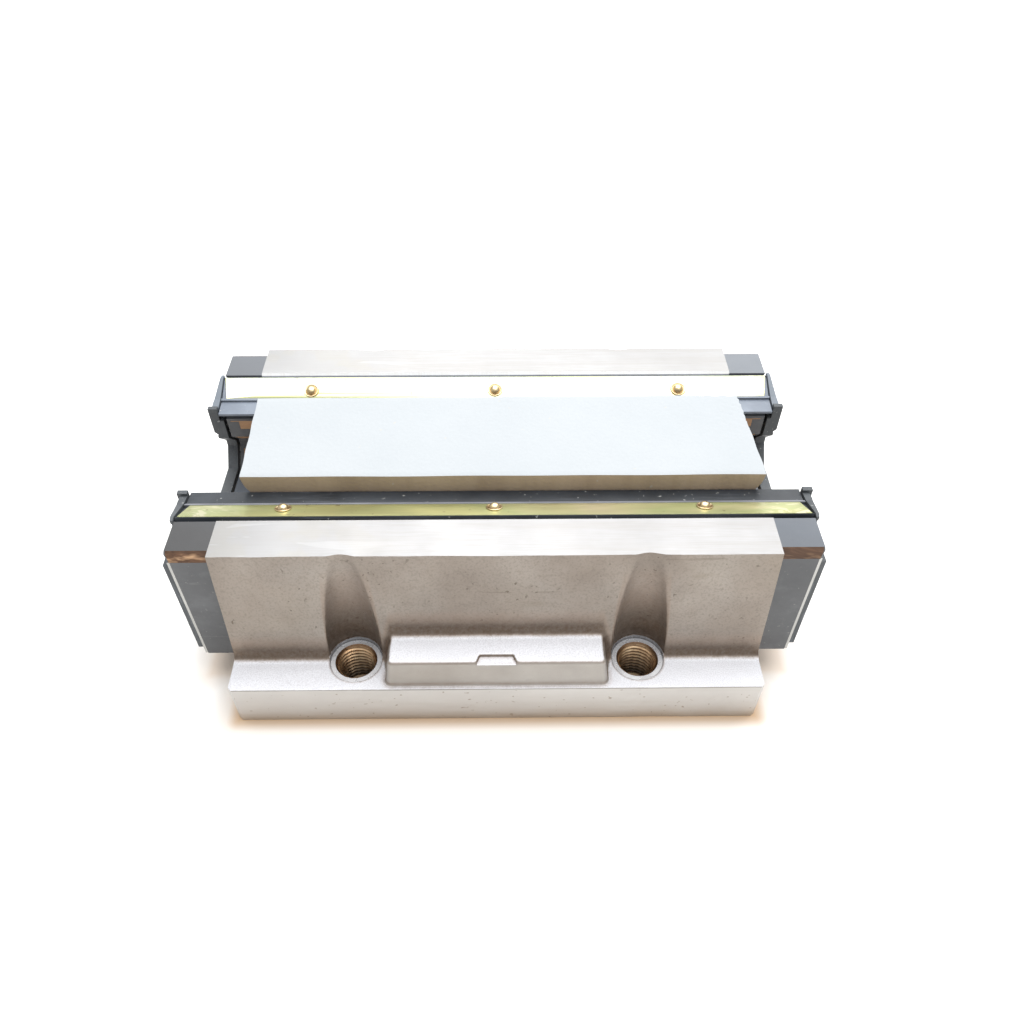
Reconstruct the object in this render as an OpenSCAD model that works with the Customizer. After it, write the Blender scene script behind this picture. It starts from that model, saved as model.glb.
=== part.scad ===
// Flanged linear roller guide carriage for a 63 mm profiled rail, lying on its mounting face.
// Origin: centre of the mounting face. +X runs along the rail, +Z points away from the mounting
// face towards the mouth of the rail channel. "near" parts are on -Y, "far" parts on +Y.

/* [Carriage body] */
// Length of the steel body along the rail
body_len = 205; // [200:1:212]
// Width over the mounting flange
body_w = 170; // [168:1:174]
// Height of the legs above the mounting face
leg_h = 72; // [71.8:0.1:73]
// Thickness of the mounting flange
flange_t = 20.5; // [19:0.5:22]
// Width over the two legs at their free ends
leg_top_w = 126; // [126:1:128]

/* [Mounting holes] */
// Hole spacing along the rail
hole_pitch_x = 110; // [106:1:112]
// Hole spacing across the rail
hole_pitch_y = 142; // [140:1:144]
// Nominal thread diameter
thread_d = 16; // [14:1:18]
// Diameter of the machined spot face round each hole
spot_d = 20.5; // [20:0.5:22]

/* [Rail passage] */
// Width of the rail head
rail_w = 63; // [63:0.1:63.4]
// Height of the rail's top face above the mounting face
rail_top = 35.5; // [35.2:0.1:36]

/* [Rollers] */
// Roller diameter
roller_d = 6.9; // [6.8:0.1:7]
// Roller length
roller_len = 7.5; // [7:0.1:7.6]

/* [End caps] */
// Length of one end cap at its side faces
cap_len = 13.5; // [13:0.5:15]
// Height of the caps' underside above the mounting face
cap_base = 14.5; // [14:0.5:16]

/* [Seals] */
// Full length of the strip seals on the legs
strip_len = 237; // [235:1:239]
// Slope of the strip seals down into the channel, in degrees
strip_tilt = 21; // [20:0.5:22]
// Distance between rivets along a strip
rivet_pitch = 79.5; // [76:0.5:82]

/* [Transport insert] */
// Length of the foam insert
foam_len = 204; // [190:1:206]
// Width of the foam insert
foam_w = 47.2; // [44:0.2:47.4]
// Height of the foam insert's top face above the mounting face
foam_top = 74.2; // [73:0.1:80]

/* [Hidden] */
LEVELS = ["upper", "lower"];
$fn = 64;

// Rail head: a flat top, a 45 degree upper raceway, a short side, a 45 degree lower raceway, a neck
race_run = 7;
rail_side_h = 3;
rail_mid_z = rail_top + race_run + rail_side_h / 2;
head_y = rail_w / 2;
neck_y = head_y - race_run;
DIAG = sqrt(0.5);
CORNER = sqrt(2) - 1;

// Roller circuits
turn_count = 3;
min_pitch = roller_d * PI / (2 * turn_count * sin(90 / turn_count)) + 0.05;
load_count = floor(body_len / min_pitch);
pitch = body_len / load_count;
turn_r = turn_count * pitch / PI;
roller_r = roller_d / 2;
roller_chamfer = 0.5;
track_gap = 0.02;
end_gap = 0.1;
load_y = head_y - race_run / 2 + roller_r * DIAG;
load_dz = race_run / 2 + rail_side_h / 2 + roller_r * DIAG;
slot_half = roller_len / 2 + end_gap;
race_z = roller_r + track_gap;
rail_gap = 0.5;
turn_track_r = turn_r + roller_r + 0.05;
turn_core_r = turn_r - roller_r - 0.05;
tube_r = 5.9;
tube_slot = 0.05;

// Steel body
corner_cut = 1.5;
leg_draft = 6.6;
root_r = 3.5;
thread_depth = 1.08;
spot_depth = 0.5;
countersink = 1.2;
boss_half = 42.5;
boss_top = 33.2;
boss_out = 83;
boss_round = 2;
boss_front_lean = 1;
boss_end_lean = 1.5;
boss_back = 55;
notch_front = 8.2;
notch_back = 6.3;
notch_depth = 1.2;
notch_y = 78;

// End caps and what lies on them
cap_side = 62.8;
cap_top = leg_h - 0.6;
cap_chamfer_y = 3.6;
cap_chamfer_z = 2.4;
cap_wall = 3;
block_len = 12;
rim_len = 15.8;
rim_under = 2.6;
rim_edge = 0.7;
rim_skin = 0.5;
lining_top = 57.2;
nose_x = 9.5;
nose_top = 61.2;
plate_t = 1.1;
seal_t = 2.4;
seal_side = 61.5;
seal_base = 17;
seal_top = 66.2;
seal_step = 4;
under_strip = 3.2;
seal_gap = 0.3;
plate_gap = 3;
plate_top = 68.7;
cap_gap = 1;
seal_rim_w = 4;
seal_rim_t = 4.5;
frame_gap = 0.2;
frame_t = 2.8;
frame_end_t = 1.1;
frame_h = 1.6;
block_t = 5.5;
block_w = 2.4;
block_base = 53;
block_cut = 3;
screw_y = 54;
screw_z = [26, 58];
screw_r = 2.5;
screw_fit = 0.1;
head_r = 4.2;
head_h = 2.4;
socket_af = 4;
socket_depth = 1.6;
screw_grip = 17.5;
plug_z = 25;
plug_r = 4;
plug_len = 8;
plug_fit = 0.05;

// Strip seals: a tilted carrier with an inlaid metal plate and a lip that reaches the rail's neck
strip_y = 42.8;
strip_z = leg_h - 0.4;
carrier_t = 2;
bead_y = 44.6;
bead_h = 0.3;
inlay_u = 0.4;
inlay_w = 10.25;
inlay_depth = 0.6;
inlay_t = 0.9;
carrier_w = 13.2;
lip_y = 24;
lip_z = leg_h - 6.6;
lip_t = 1.1;
mitre = 1.5;
lip_short = 0.3;
rivet_u = 7;
rivet_shift = -0.5;
tab_h = 3.1;
rivet_flange_r = 3.2;
rivet_dome_r = 2.1;
rivet_shank_r = 1.5;

foam_shift = 2.1;

// ---- shared shapes ----

// Half outline of the rail head grown by c, from the top's centre round to the mouth
function rail_half(c) = [
    [0, rail_top - c],
    [neck_y + c * CORNER, rail_top - c],
    [head_y + c, rail_top + race_run - c * CORNER],
    [head_y + c, rail_top + race_run + rail_side_h + c * CORNER],
    [neck_y + c, rail_top + 2 * race_run + rail_side_h + c * CORNER],
    [neck_y + c, leg_h + 20],
    [0, leg_h + 20]];

// Height of the ledge that the strip seals lie on
function ledge(y) = strip_z - carrier_t / cos(strip_tilt) - (strip_y - y) * tan(strip_tilt);

// Point on the load circuit's cross-section: a along the roller, n away from the rail
function upper_pt(a, n) = [load_y + (a + n) * DIAG, rail_mid_z - load_dz + (a - n) * DIAG];
function flip(p) = [p[0], 2 * rail_mid_z - p[1]];

race_in = upper_pt(-slot_half, race_z);
race_out = upper_pt(slot_half, race_z);
mouth_in = flip(race_in);
ledge_out = bead_y + 0.1;

// The half outline joined to its mirror image in Y. A half starts and ends at y = 0.
function both_halves(half) = concat(half, [for (i = [len(half) - 2:-1:1]) [-half[i][0], half[i][1]]]);

// Extrudes a symmetric outline along X between x0 and x1
module along_x(x0, x1, half) {
    translate([x0, 0, 0]) rotate([90, 0, 90]) linear_extrude(x1 - x0) polygon(both_halves(half));
}

// Draws one outline on the far side only
module strip_x(x0, x1, outline) {
    translate([x0, 0, 0]) rotate([90, 0, 90]) linear_extrude(x1 - x0) polygon(outline);
}

module on_side(side) {
    if (side == "near") mirror([0, 1, 0]) children();
    else children();
}

module at_end(end) {
    if (end == "left") mirror([1, 0, 0]) children();
    else children();
}

// Frame of one far-side circuit: X along the rail, Y along the rollers, Z away from the rail
module circuit(level) {
    up = level == "upper";
    translate([0, load_y, rail_mid_z + (up ? -load_dz : load_dz)]) rotate([up ? -135 : -45, 0, 0]) children();
}

module rod_x(x0, x1, y, z, r) {
    translate([x0, y, z]) rotate([0, 90, 0]) cylinder(r = r, h = x1 - x0);
}

// Frame of a far-side strip: local Y points outwards along its slope, local Z out of its face
module strip_frame() {
    translate([0, strip_y, strip_z]) rotate([strip_tilt, 0, 0]) children();
}

// ---- carriage body ----

// Outer half outline: flange, root fillet, drafted leg, strip ledge
function root_arc() = let (
    y0 = leg_top_w / 2 + leg_draft,
    c = [y0 + root_r, flange_t + root_r])
    [for (i = [0:6]) c + root_r * [-sin(i * 15), -cos(i * 15)]];

function body_half() = concat(
    [[0, 0], [body_w / 2, 0], [body_w / 2, flange_t]],
    root_arc(),
    [[leg_top_w / 2, leg_h], [ledge_out, leg_h], [ledge_out, ledge(ledge_out)], [0, ledge(0)]]);

// A boss side that starts at w, leans in by lean and turns into the top face over a rounded edge
function boss_edge(w, lean) = [
    [w, flange_t - 1], [w - lean, boss_top - boss_round],
    for (a = [22.5:22.5:67.5]) [w - lean, boss_top - boss_round] + boss_round * [cos(a) - 1, sin(a)],
    [w - lean - boss_round, boss_top]];

module mounting_boss() {
    end_edge = boss_edge(boss_half, boss_end_lean);
    last = len(end_edge) - 1;
    intersection() {
        strip_x(-boss_half, boss_half, concat(
            [[boss_back, boss_top], [boss_back, flange_t - 1]], boss_edge(boss_out, boss_front_lean)));
        translate([0, body_w, 0]) rotate([90, 0, 0]) linear_extrude(body_w)
            polygon(concat(end_edge, [for (i = [last:-1:0]) [-end_edge[i][0], end_edge[i][1]]]));
    }
}

// The spot face's cutter also relieves the leg beside it, up to the free end
module threaded_hole() {
    minor_r = thread_d / 2 - thread_depth;
    translate([0, 0, -1]) cylinder(r = minor_r, h = flange_t + 2);
    translate([0, 0, flange_t - spot_depth - countersink])
        cylinder(r1 = minor_r, r2 = minor_r + countersink, h = countersink);
    translate([0, 0, flange_t - spot_depth]) cylinder(d = spot_d, h = leg_h);
}

module corner_cuts() {
    for (sx = [-1, 1], sy = [-1, 1])
        translate([sx * body_len / 2, sy * body_w / 2, flange_t / 2]) rotate([0, 0, 45])
            cube([corner_cut * sqrt(2), corner_cut * sqrt(2), flange_t + 2], center = true);
}

// Rail channel with the roller tracks cut into both legs
module channel_void() {
    along_x(-body_len, body_len, [
        [0, race_in[1]], race_in, race_out, flip(race_out), mouth_in,
        [mouth_in[0], ledge(mouth_in[0])], [mouth_in[0], leg_h + 20], [0, leg_h + 20]]);
}

module carriage_body() {
    color("darkgray") difference() {
        union() {
            along_x(-body_len / 2, body_len / 2, body_half());
            for (side = ["near", "far"]) on_side(side) mounting_boss();
        }
        channel_void();
        corner_cuts();
        for (sx = [-1, 1], side = ["near", "far"])
            on_side(side) translate([sx * hole_pitch_x / 2, hole_pitch_y / 2, 0]) threaded_hole();
        for (side = ["near", "far"]) on_side(side) {
            translate([0, 0, boss_top - notch_depth]) linear_extrude(2 * notch_depth) polygon([
                [-notch_front, boss_out], [notch_front, boss_out],
                [notch_back, notch_y], [-notch_back, notch_y]]);
            for (level = LEVELS) circuit(level)
                rod_x(-body_len, body_len, 0, 2 * turn_r, tube_r);
            for (z = screw_z, end = ["left", "right"]) at_end(end)
                rod_x(body_len / 2 - screw_grip, body_len, screw_y, z, screw_r);
        }
    }
}

// ---- end caps ----

function cap_outline() = [
    [0, cap_base], [cap_side, cap_base], [cap_side, cap_top - cap_chamfer_z],
    [cap_side - cap_chamfer_y, cap_top], [ledge_out, cap_top], [ledge_out, ledge(ledge_out)],
    [0, ledge(0)]];

// The return block fills the cap and shows along its bevelled corner
function block_outline() = [
    [0, cap_base + cap_wall], [cap_side - cap_wall, cap_base + cap_wall],
    [cap_side - cap_wall, cap_top - cap_chamfer_z - cap_wall],
    [cap_side, cap_top - cap_chamfer_z], [cap_side - cap_chamfer_y, cap_top],
    [cap_side - cap_chamfer_y - cap_wall, cap_top - cap_wall],
    [ledge_out + 2, cap_top - cap_wall], [ledge_out, ledge(ledge_out) - 1.2], [0, ledge(0) - 1.2]];

function ridge_outline() = [
    [cap_side - cap_wall, cap_top - cap_chamfer_z - cap_wall],
    [cap_side, cap_top - cap_chamfer_z], [cap_side - cap_chamfer_y, cap_top],
    [cap_side - cap_chamfer_y - cap_wall, cap_top - cap_wall]];

// Solid that lies under the cap's rim: its outer end runs down and inwards to the cap's end face
module rim_form(x0, x1) {
    translate([0, body_w, 0]) rotate([90, 0, 0]) linear_extrude(2 * body_w) polygon([
        [x0, cap_base], [x0 + cap_len, cap_base], [x0 + cap_len, cap_top - rim_under],
        [x1, cap_top - rim_edge], [x1, leg_h], [x0, leg_h]]);
}

// Parts of the cap that line the rail opening: its floor, the mouth corner and the side
module cap_inserts() {
    x0 = body_len / 2 - 1;
    along_x(x0, x0 + body_len, [[0, cap_base], [neck_y, cap_base], [neck_y, rail_top], [0, rail_top]]);
    for (side = ["near", "far"]) on_side(side) {
        strip_x(x0, x0 + body_len, [[neck_y, 51.2], [28.8, 55.5], [28.8, lining_top], [neck_y, lining_top]]);
        strip_x(x0 + nose_x, x0 + body_len, [
            [neck_y, lining_top], [28.4, lining_top], [28.4, nose_top], [neck_y, nose_top]]);
        strip_x(x0, x0 + body_len, [[head_y, 41], [36, 41], [36, 47], [head_y, 47]]);
    }
}

// Shape of the return block before its roller tracks are cut, at the right end
module block_form() {
    x0 = body_len / 2;
    difference() {
        union() {
            along_x(x0, x0 + block_len, block_outline());
            intersection() {
                for (side = ["near", "far"]) on_side(side) strip_x(x0, x0 + rim_len, ridge_outline());
                rim_form(x0, x0 + rim_len - rim_skin);
            }
        }
        cap_inserts();
    }
}

module cap_screw_holes(r) {
    for (side = ["near", "far"], z = screw_z) on_side(side)
        rod_x(body_len / 2 - 1, body_len / 2 + 30, screw_y, z, r);
}

module rail_opening(c) {
    along_x(body_len / 2 - 1, body_len / 2 + 30, rail_half(c));
}

module plug_hole(r) {
    rod_x(body_len / 2 + cap_len - plug_len, body_len / 2 + 30, 0, plug_z, r);
}

module end_cap(end) {
    x0 = body_len / 2;
    color("dimgray") at_end(end) difference() {
        intersection() {
            along_x(x0, x0 + rim_len, cap_outline());
            rim_form(x0, x0 + rim_len);
        }
        block_form();
        rail_opening(cap_gap);
        cap_screw_holes(screw_r + screw_fit);
        plug_hole(plug_r + plug_fit);
    }
}

module return_block(end) {
    x0 = body_len / 2;
    color("saddlebrown") at_end(end) difference() {
        block_form();
        rail_opening(cap_gap);
        cap_screw_holes(screw_r + screw_fit);
        plug_hole(plug_r + plug_fit);
        for (side = ["near", "far"], level = LEVELS) on_side(side) circuit(level)
            translate([x0, 0, turn_r]) rotate([90, 0, 0])
                cylinder(r = turn_track_r, h = 2 * slot_half, center = true, $fn = 96);
    }
}

// Half-round inner guides that the rollers turn about
module turn_guides(end) {
    x0 = body_len / 2;
    color("tan") at_end(end)
        for (side = ["near", "far"], level = LEVELS) on_side(side) circuit(level)
            translate([x0, 0, turn_r]) intersection() {
                rotate([90, 0, 0]) cylinder(r = turn_core_r, h = 2 * slot_half, center = true);
                translate([turn_core_r, 0, 0]) cube(2 * [turn_core_r, slot_half, turn_core_r], center = true);
            }
}

module support_plate(end) {
    x0 = body_len / 2 + cap_len;
    color("silver") at_end(end) difference() {
        along_x(x0, x0 + plate_t, seal_outline(cap_side - 0.3, cap_base, plate_top));
        rail_opening(plate_gap);
        cap_screw_holes(screw_r + screw_fit);
        plug_hole(plug_r + plug_fit);
    }
}

// Half outline of an end plate between the heights base and top, below the strip seals
function seal_outline(side_y, base, top) = [
    [0, base], [side_y, base], [side_y, top], [bead_y + 1, top], [bead_y, seal_top],
    [strip_y - seal_step, ledge(strip_y - seal_step) - under_strip], [0, ledge(0) - under_strip]];

// Part of the end seal that closes the channel's corner below the strip seal and frames its end
module mouth_block(x0) {
    frame_x = body_len / 2 + strip_over() + frame_gap;
    block_out = neck_y + seal_gap + block_w;
    translate([0, neck_y + block_w, 0]) rotate([90, 0, 0]) linear_extrude(block_w) polygon([
        [x0, block_base], [x0 + block_t - block_cut, block_base], [x0 + block_t, block_base + block_cut],
        [x0 + block_t, lip_z + tab_h], [frame_x, lip_z + tab_h], [frame_x, lip_z - under_strip],
        [x0, lip_z - under_strip]]);
    strip_x(frame_x, x0 + seal_t, [
        [neck_y, block_base], [block_out, block_base], [bead_y, seal_top - 2],
        [bead_y, leg_h - 1], [neck_y, lip_z]]);
    intersection() {
        strip_x(frame_x, frame_x + frame_t, [
            [neck_y, lip_z], [bead_y, leg_h - 1.8], [bead_y, leg_h - 0.3],
            uv(0, 0.4), uv(carrier_w - 2, 0.6), [neck_y, lip_z + frame_h]]);
        linear_extrude(2 * leg_h) polygon([
            [frame_x, bead_y], [frame_x + frame_end_t, bead_y], [frame_x + frame_t, neck_y + 6],
            [frame_x + frame_t, neck_y], [frame_x, neck_y]]);
    }
}

module end_seal(end) {
    x0 = body_len / 2 + cap_len + plate_t;
    color("black") at_end(end) difference() {
        union() {
            along_x(x0, x0 + seal_t, seal_outline(seal_side, seal_base, seal_top));
            intersection() {
                along_x(x0, x0 + seal_rim_t, rail_half(seal_rim_w));
                translate([x0, -rail_w, 0]) cube([seal_rim_t, 2 * rail_w, block_base + 1]);
            }
            for (side = ["near", "far"]) on_side(side) mouth_block(x0);
        }
        rail_opening(seal_gap);
        cap_screw_holes(head_r + 0.3);
        plug_hole(plug_r + 0.5);
    }
}

module hex_socket() {
    rotate([0, 90, 0]) cylinder(d = socket_af / cos(30), h = 3 * socket_depth, $fn = 6);
}

// Socket screws that clamp the seal's plate and the cap to the steel body
module cap_screws(end) {
    x1 = body_len / 2 + cap_len + plate_t;
    color("gray") at_end(end) for (side = ["near", "far"], z = screw_z) on_side(side) difference() {
        union() {
            rod_x(body_len / 2 - screw_grip, x1, screw_y, z, screw_r);
            rod_x(x1, x1 + head_h, screw_y, z, head_r);
        }
        translate([x1 + head_h - socket_depth, screw_y, z]) hex_socket();
    }
}

module lube_plug(end) {
    x1 = body_len / 2 + cap_len;
    color("gray") at_end(end) difference() {
        rod_x(x1 - plug_len, x1, 0, plug_z, plug_r);
        translate([x1 - 2 * socket_depth, 0, plug_z]) hex_socket();
    }
}

// ---- roller circuits ----

module roller() {
    h = roller_len / 2;
    c = roller_chamfer;
    rotate([90, 0, 0]) rotate_extrude()
        polygon([
            [0, -h], [roller_r - c, -h], [roller_r, c - h],
            [roller_r, h - c], [roller_r - c, h], [0, h]]);
}

// A straight row of rollers at height n above the rail's raceway side
module roller_row(side, level, n) {
    color("lightsteelblue") on_side(side) circuit(level)
        for (i = [0:load_count - 1])
            translate([(i + 0.5) * pitch - body_len / 2, 0, n]) roller();
}

module turn_rollers(end, side, level) {
    color("lightsteelblue") on_side(side) at_end(end) circuit(level)
        for (i = [0:turn_count - 1]) {
            a = (i + 0.5) * 180 / turn_count;
            translate([body_len / 2 + turn_r * sin(a), 0, turn_r - turn_r * cos(a)]) roller();
        }
}

// Plastic liner of a return bore, with a straight slot for the rollers
module return_tube(side, level) {
    color("wheat") on_side(side) circuit(level) translate([0, 0, 2 * turn_r]) difference() {
        rod_x(-body_len / 2, body_len / 2, 0, 0, tube_r);
        cube([body_len + 2, 2 * slot_half, roller_d + 2 * tube_slot], center = true);
    }
}

module floor_retainer(side) {
    color("dimgray") on_side(side) strip_x(-body_len / 2, body_len / 2, [
        [12, race_in[1]], race_in, upper_pt(-slot_half, rail_gap - roller_r),
        [neck_y + rail_gap * CORNER, rail_top - rail_gap], [12, rail_top - rail_gap]]);
}

module centre_retainer(side) {
    edge_y = head_y + rail_gap;
    lower_z = race_out[0] + race_out[1] - edge_y;
    color("dimgray") on_side(side) strip_x(-body_len / 2, body_len / 2, [
        race_out, flip(race_out), flip([edge_y, lower_z]), [edge_y, lower_z]]);
}

module mouth_retainer(side) {
    top_z = rail_mid_z + 16;
    edge_y = neck_y + rail_gap + 0.1;
    nose = flip(upper_pt(-slot_half, rail_gap - roller_r));
    color("dimgray") on_side(side) strip_x(-body_len / 2, body_len / 2, [
        mouth_in, [mouth_in[0], top_z], [edge_y, top_z], [edge_y, nose[1] + nose[0] - edge_y], nose]);
}

// ---- strip seals ----

// How far a strip seal reaches past the steel body at each end
function strip_over() = (strip_len - body_len) / 2;

function uv(u, v) = [
    strip_y - u * cos(strip_tilt) - v * sin(strip_tilt),
    strip_z - u * sin(strip_tilt) + v * cos(strip_tilt)];

module strip_seal(side) {
    color("black") on_side(side) intersection() {
        strip_x(-strip_len / 2, strip_len / 2, [
            [bead_y, ledge(bead_y)], [bead_y, ledge(bead_y) + bead_h], uv(0, bead_h - carrier_t), uv(0, 0.1),
            uv(inlay_u - 0.1, 0.1), uv(inlay_u, -inlay_depth), uv(inlay_u + inlay_w, -inlay_depth),
            uv(inlay_u + inlay_w, 0.5), uv(inlay_u + inlay_w + 1.1, 0.5), uv(inlay_u + inlay_w + 1.2, -0.4),
            [lip_y, lip_z + lip_t], [lip_y, lip_z], uv(carrier_w, -carrier_t)]);
        translate([0, 0, leg_h - 20]) linear_extrude(30) polygon([
            [-strip_len / 2, bead_y + 1], [strip_len / 2, bead_y + 1],
            [strip_len / 2, strip_y], [strip_len / 2 - lip_short, lip_y - 1],
            [lip_short - strip_len / 2, lip_y - 1], [-strip_len / 2, strip_y]]);
    }
}

// Thin plated strip inlaid in the carrier, mitred at its ends
module strip_plate(side) {
    half_out = strip_len / 2 - 0.8;
    color("khaki") on_side(side) strip_frame() translate([0, 0, -inlay_depth]) difference() {
        linear_extrude(inlay_t) polygon([
            [-half_out, -inlay_u], [half_out, -inlay_u],
            [half_out - mitre, -inlay_u - inlay_w], [mitre - half_out, -inlay_u - inlay_w]]);
        for (i = [-1:1])
            translate([i * rivet_pitch + rivet_shift, -rivet_u, -1]) cylinder(r = rivet_shank_r, h = 4);
    }
}

module strip_rivets(side) {
    top = inlay_t - inlay_depth;
    color("gold") on_side(side) strip_frame() for (i = [-1:1])
    translate([i * rivet_pitch + rivet_shift, -rivet_u, 0]) {
        translate([0, 0, -inlay_depth]) cylinder(r = rivet_shank_r, h = inlay_t);
        translate([0, 0, top]) cylinder(r = rivet_flange_r, h = 0.4);
        translate([0, 0, top + 0.4]) rotate_extrude() polygon(concat([[0, 0]],
            [for (a = [0:15:90]) [rivet_dome_r * cos(a), 1.2 * sin(a)]]));
    }
}

module foam_insert() {
    base = rail_top - rail_gap + 0.2;
    color("white") translate([foam_shift - foam_len / 2, -foam_w / 2, base])
        cube([foam_len, foam_w, foam_top - base]);
}

carriage_body();
end_cap("left");  // end_cap_left
end_cap("right");  // end_cap_right
return_block("left");  // return_block_left
return_block("right");  // return_block_right
turn_guides("left");  // turn_guides_left
turn_guides("right");  // turn_guides_right
return_tube("near", "upper");  // return_tube_upper_near
return_tube("far", "upper");  // return_tube_upper_far
return_tube("near", "lower");  // return_tube_lower_near
return_tube("far", "lower");  // return_tube_lower_far
floor_retainer("near");  // floor_retainer_near
floor_retainer("far");  // floor_retainer_far
centre_retainer("near");  // centre_retainer_near
centre_retainer("far");  // centre_retainer_far
mouth_retainer("near");  // mouth_retainer_near
mouth_retainer("far");  // mouth_retainer_far
roller_row("near", "upper", 0);  // load_rollers_upper_near
roller_row("far", "upper", 0);  // load_rollers_upper_far
roller_row("near", "lower", 0);  // load_rollers_lower_near
roller_row("far", "lower", 0);  // load_rollers_lower_far
roller_row("near", "upper", 2 * turn_r);  // return_rollers_upper_near
roller_row("far", "upper", 2 * turn_r);  // return_rollers_upper_far
roller_row("near", "lower", 2 * turn_r);  // return_rollers_lower_near
roller_row("far", "lower", 2 * turn_r);  // return_rollers_lower_far
turn_rollers("left", "near", "upper");  // turn_rollers_left_upper_near
turn_rollers("left", "far", "upper");  // turn_rollers_left_upper_far
turn_rollers("left", "near", "lower");  // turn_rollers_left_lower_near
turn_rollers("left", "far", "lower");  // turn_rollers_left_lower_far
turn_rollers("right", "near", "upper");  // turn_rollers_right_upper_near
turn_rollers("right", "far", "upper");  // turn_rollers_right_upper_far
turn_rollers("right", "near", "lower");  // turn_rollers_right_lower_near
turn_rollers("right", "far", "lower");  // turn_rollers_right_lower_far
support_plate("left");  // support_plate_left
support_plate("right");  // support_plate_right
end_seal("left");  // end_seal_left
end_seal("right");  // end_seal_right
cap_screws("left");  // cap_screws_left
cap_screws("right");  // cap_screws_right
lube_plug("left");  // lube_plug_left
lube_plug("right");  // lube_plug_right
strip_seal("near");  // strip_seal_near
strip_seal("far");  // strip_seal_far
strip_plate("near");  // strip_plate_near
strip_plate("far");  // strip_plate_far
strip_rivets("near");  // strip_rivets_near
strip_rivets("far");  // strip_rivets_far
foam_insert();
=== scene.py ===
"""Looks of a flanged roller guide carriage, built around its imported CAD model.

Lengths are millimetres in the mesh builders and become metres when a mesh is made. X runs along the
channel, Y across it with the far side positive, and Z up from the mounting face. Material functions use
the object's own coordinates, which are metres.
"""
import math

import bpy
import numpy as np
from mathutils import Matrix, Vector


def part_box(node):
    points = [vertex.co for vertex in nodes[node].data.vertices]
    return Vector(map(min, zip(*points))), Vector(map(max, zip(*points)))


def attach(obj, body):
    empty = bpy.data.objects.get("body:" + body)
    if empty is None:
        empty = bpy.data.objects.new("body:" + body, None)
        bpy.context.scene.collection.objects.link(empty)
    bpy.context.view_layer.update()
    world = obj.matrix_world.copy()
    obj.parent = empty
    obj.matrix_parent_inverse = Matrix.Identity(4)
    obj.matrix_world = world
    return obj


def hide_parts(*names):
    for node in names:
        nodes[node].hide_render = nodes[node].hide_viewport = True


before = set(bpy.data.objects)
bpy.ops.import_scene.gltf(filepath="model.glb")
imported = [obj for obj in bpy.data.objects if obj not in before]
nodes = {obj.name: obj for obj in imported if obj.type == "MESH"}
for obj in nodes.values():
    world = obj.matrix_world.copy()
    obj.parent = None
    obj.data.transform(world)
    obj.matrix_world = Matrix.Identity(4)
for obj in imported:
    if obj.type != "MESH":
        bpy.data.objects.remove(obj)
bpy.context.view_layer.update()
scene = bpy.context.scene
MM = 0.001
SIDES = {"near": -1.0, "far": 1.0}


def box_mm(node):
    """Lowest and highest corner of a CAD node, in millimetres."""
    low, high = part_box(node)
    return np.array(low) / MM, np.array(high) / MM


# The body's half length, half width and height, and the end cap's outer corner
BODY_X, BODY_Y, LEG_H = box_mm("carriage_body")[1]
cap_high = box_mm("end_cap_right")[1]

# Flange and leg: the leg's outer face leans in by LEG_DRAFT over its height
FLANGE_T = 20.5
LEG_TOP_Y = 63.0
LEG_DRAFT = 6.6
ROOT_R = 3.5

# Threaded holes with a spot face, and the cutter's relief up the leg above each
HOLE_X, HOLE_Y = 55.0, 71.0
SPOT_R, SPOT_DEPTH, SPOT_REACH = 10.25, 0.5, 1.7
THREAD_MAJOR, THREAD_MINOR, THREAD_PITCH = 7.98, 6.92, 2.0
RELIEF_R = 10.45

# Raised boss between the holes, with a notch in its front edge
BOSS_X, BOSS_Y, BOSS_Z, BOSS_LEAN = 42.5, 83.0, 33.2, 1.5
NOTCH_X, NOTCH_Y, NOTCH_DEPTH = 6.3, 78.0, 1.2

# Strip seals: the slope's frame, the ledge under it, and the chamfers on the leg's edge beside it
STRIP_TILT = math.radians(21)
STRIP_Y, STRIP_Z = 42.8, LEG_H - 0.4
STRIP_T = 2.0
LEDGE_Y = 44.7
FAR_CHAMFER, NEAR_CHAMFER = 0.9, 0.3

# Rivets: three to a strip, standing on the plated strip's face
RIVET_PITCH, RIVET_SHIFT, RIVET_U = 79.5, -0.5, 7.0
RIVET_DOME_R, RIVET_DOME_H, RIVET_DOME_FOOT = 2.1, 1.55, 0.40
PLATE_V = 0.3

# The body's finishes, in the order of its material slots
FORGED, TOP, END, TURNED, THREAD, GROUND, FLANGE_FACE, LEDGE_WALL = range(8)


# ---- materials -------------------------------------------------------------------------------

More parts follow.
